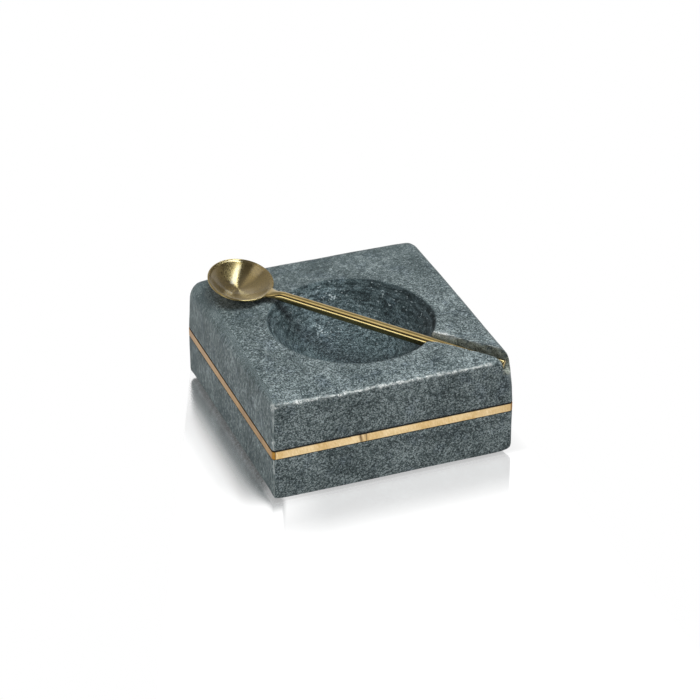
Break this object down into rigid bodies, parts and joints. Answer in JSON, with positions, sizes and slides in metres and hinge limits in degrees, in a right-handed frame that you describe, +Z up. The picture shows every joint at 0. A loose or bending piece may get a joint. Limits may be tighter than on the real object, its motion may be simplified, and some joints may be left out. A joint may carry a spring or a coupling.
{
  "type": "salt cellar",
  "caption": "Square stone salt cellar with a round hollow, a brass band let into its sides and a brass spoon that lies across the hollow with its handle in a corner slot.",
  "frame": {"origin": "centre of the footprint at the resting plane under the feet", "axes": "+Z up, +X right along the front face, +Y to the back; the handle's slot leaves at the +X -Y corner"},
  "size_m": [0.1, 0.103, 0.0552],
  "materials": {
    "stone": "honed grey-green stone with fine light and dark grain",
    "inlay_adhesive": "dark resin",
    "strip_brass": "fine ground",
    "foot_rubber": "matt black",
    "foot_adhesive": "double-sided film",
    "spoon_brass": "brushed antique brass"
  },
  "bodies": {
    "block": {"stone_block": "stone", "inlay_adhesive": "inlay_adhesive", "strip_front_left": "strip_brass", "strip_front_closer": "strip_brass", "strip_front_right": "strip_brass", "strip_left": "strip_brass", "strip_right": "strip_brass", "strip_back": "strip_brass", "foot_front_left": "foot_rubber", "foot_front_right": "foot_rubber", "foot_back_left": "foot_rubber", "foot_back_right": "foot_rubber", "foot_adhesive": "foot_adhesive"},
    "spoon": {"spoon_bowl": "spoon_brass", "spoon_handle": "spoon_brass"}
  },
  "joints": [
    {"name": "spoon_lift", "type": "slide", "parent": "block", "child": "spoon", "axis": [0, 0, 1], "range_m": [0, 0.06]}
  ]
}
